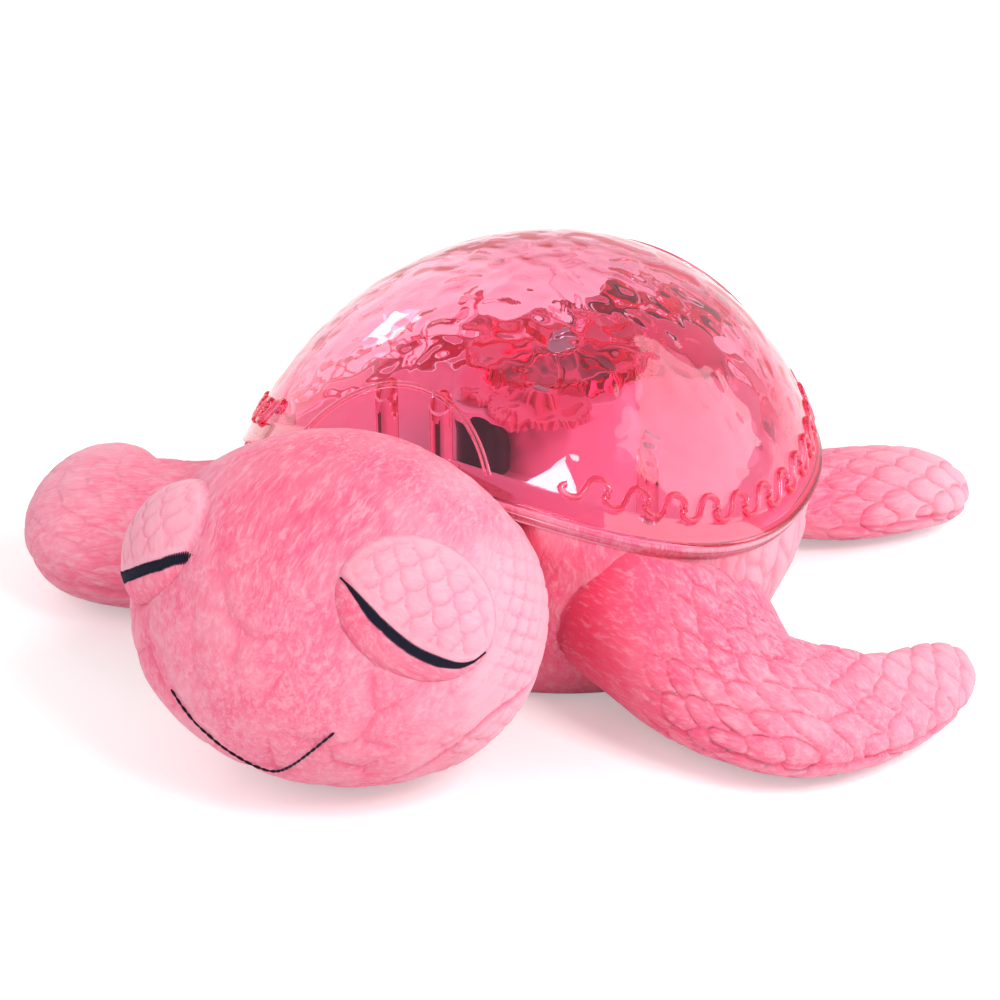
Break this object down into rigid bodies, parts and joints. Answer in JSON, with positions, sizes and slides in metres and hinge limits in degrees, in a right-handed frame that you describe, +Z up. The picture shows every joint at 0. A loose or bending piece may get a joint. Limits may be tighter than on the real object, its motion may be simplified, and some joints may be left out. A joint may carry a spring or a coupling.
{
  "type": "turtle night light",
  "caption": "Stuffed sea turtle night light with a clear tinted dome shell over a turning ripple disc, push buttons, soft lifting flippers and a battery tub in its belly.",
  "frame": {"origin": "on the floor, under the middle of the outline", "axes": "+X to the turtle's left flippers, -Y the way it faces, +Z up"},
  "size_m": [0.3664, 0.3544, 0.1455],
  "materials": {
    "plush": "short-nap plush, embossed with scales",
    "dome_clear": "clear tinted, polished outside",
    "disc_clear": "clear, ribbed",
    "deck_plastic": "moulded gloss",
    "tub_plastic": "fine moulded texture",
    "button_plastic": "moulded gloss",
    "gear_plastic": "natural moulded",
    "steel": "plated",
    "motor_black": "black",
    "board_laminate": "solder mask",
    "part_black": "moulded",
    "cell_wrap": "shrink wrap",
    "led_resin": "clear resin"
  },
  "bodies": {
    "base": {"plush_body": "plush", "head": "plush", "eyelid_left": "plush", "eyelid_right": "plush", "tail": "plush", "dome": "dome_clear", "deck": "deck_plastic", "light_tower": "deck_plastic", "button_bracket": "deck_plastic", "tub": "tub_plastic", "hem_ring": "tub_plastic", "dome_screws": "steel", "tub_screws": "steel", "board_screws": "steel", "tower_screws": "steel", "disc_spindle": "steel", "disc_screw": "steel", "idler_pin": "steel", "motor_screws": "steel", "bracket_screws": "steel", "button_board_screws": "steel", "battery_contacts": "steel", "motor": "motor_black", "main_board": "board_laminate", "led_board": "board_laminate", "button_board": "board_laminate", "sound_chip": "part_black", "capacitor": "part_black", "tact_switches": "part_black", "speaker": "part_black", "aa_cells": "cell_wrap", "leds": "led_resin"},
    "front_left_flipper": {"flipper_front_left": "plush"},
    "front_right_flipper": {"flipper_front_right": "plush"},
    "rear_left_flipper": {"flipper_rear_left": "plush"},
    "rear_right_flipper": {"flipper_rear_right": "plush"},
    "disc": {"ripple_disc": "disc_clear"},
    "idler": {"idler_gear": "gear_plastic"},
    "rotor": {"motor_shaft": "steel", "motor_pinion": "gear_plastic"},
    "light_button": {"button_light": "button_plastic"},
    "wave_button": {"button_wave": "button_plastic"},
    "sound_button": {"button_sound": "button_plastic"},
    "door": {"battery_door": "tub_plastic", "door_screw": "steel"}
  },
  "joints": [
    {"name": "flipper_front_left_lift", "type": "hinge", "parent": "base", "child": "front_left_flipper", "pos_m": [0.09491, -0.0243, 0.06], "axis": [-0.2801, -0.96, 0], "range_deg": [0, 20]},
    {"name": "flipper_front_right_lift", "type": "hinge", "parent": "base", "child": "front_right_flipper", "pos_m": [-0.09491, -0.0243, 0.06], "axis": [-0.2801, 0.96, 0], "range_deg": [0, 20]},
    {"name": "flipper_rear_left_lift", "type": "hinge", "parent": "base", "child": "rear_left_flipper", "pos_m": [0.05648, 0.12326, 0.038], "axis": [0.7652, -0.6438, 0], "range_deg": [0, 20]},
    {"name": "flipper_rear_right_lift", "type": "hinge", "parent": "base", "child": "rear_right_flipper", "pos_m": [-0.05648, 0.12326, 0.038], "axis": [0.7652, 0.6438, 0], "range_deg": [0, 20]},
    {"name": "disc_spin", "type": "hinge", "parent": "base", "child": "disc", "pos_m": [0, 0.0438, 0.0965], "axis": [0, 0, 1], "continuous": true},
    {"name": "idler_spin", "type": "hinge", "parent": "base", "child": "idler", "pos_m": [0.01436, 0.00433, 0.0965], "axis": [0, 0, 1], "continuous": true},
    {"name": "pinion_spin", "type": "hinge", "parent": "base", "child": "rotor", "pos_m": [-0.0096, 0.00308, 0.0965], "axis": [0, 0, 1], "continuous": true},
    {"name": "light_press", "type": "slide", "parent": "base", "child": "light_button", "axis": [0, -0.8175, -0.5759], "range_m": [0, 0.0012], "stiffness_N_per_m": 500, "springref_m": -0.002},
    {"name": "wave_press", "type": "slide", "parent": "base", "child": "wave_button", "axis": [0, -0.8175, -0.5759], "range_m": [0, 0.0012], "stiffness_N_per_m": 500, "springref_m": -0.002},
    {"name": "sound_press", "type": "slide", "parent": "base", "child": "sound_button", "axis": [0, -0.8175, -0.5759], "range_m": [0, 0.0012], "stiffness_N_per_m": 500, "springref_m": -0.002},
    {"name": "door_lift_out", "type": "slide", "parent": "base", "child": "door", "axis": [0, 0, -1], "range_m": [0, 0.02]}
  ],
  "couplings": [
    {"joint": "idler_spin", "follows": "disc_spin", "ratio": -6},
    {"joint": "pinion_spin", "follows": "disc_spin", "ratio": 18}
  ]
}
